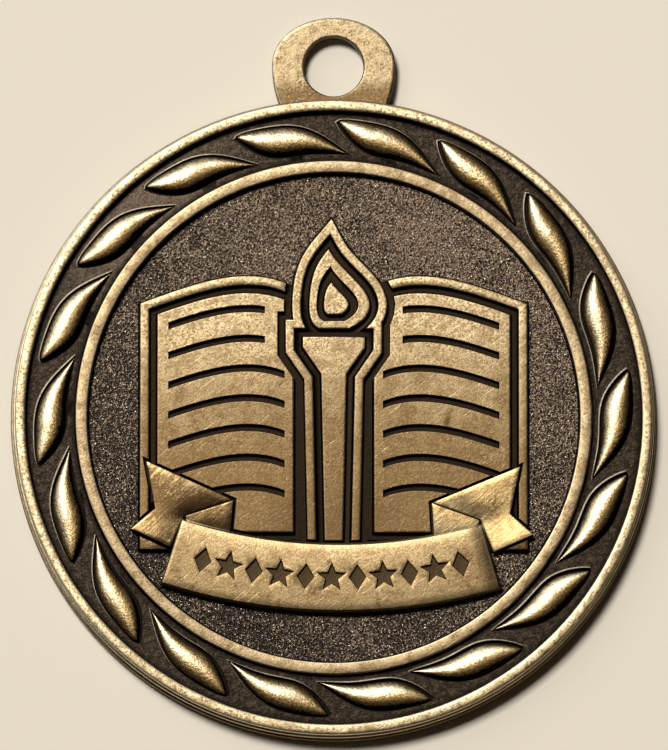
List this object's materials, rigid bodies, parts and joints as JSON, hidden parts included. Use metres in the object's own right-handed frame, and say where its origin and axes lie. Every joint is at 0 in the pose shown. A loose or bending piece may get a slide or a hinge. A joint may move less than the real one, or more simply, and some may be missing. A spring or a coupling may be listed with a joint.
{
  "type": "academic medallion",
  "caption": "Round cast academic medal with laurel leaf border, raised open book and torch emblem, curved banner and a ribbon loop.",
  "frame": {"origin": "centre of the disc on its flat back face", "axes": "+Z out of the face, +Y from the centre of the disc towards the loop, +X to the right as the face is read"},
  "size_m": [0.0508, 0.0572, 0.0032],
  "materials": {
    "antique_brass": "cast, antiqued dark in the recesses and brushed bright on the raised work"
  },
  "bodies": {
    "root": {"medallion": "antique_brass"}
  },
  "joints": []
}
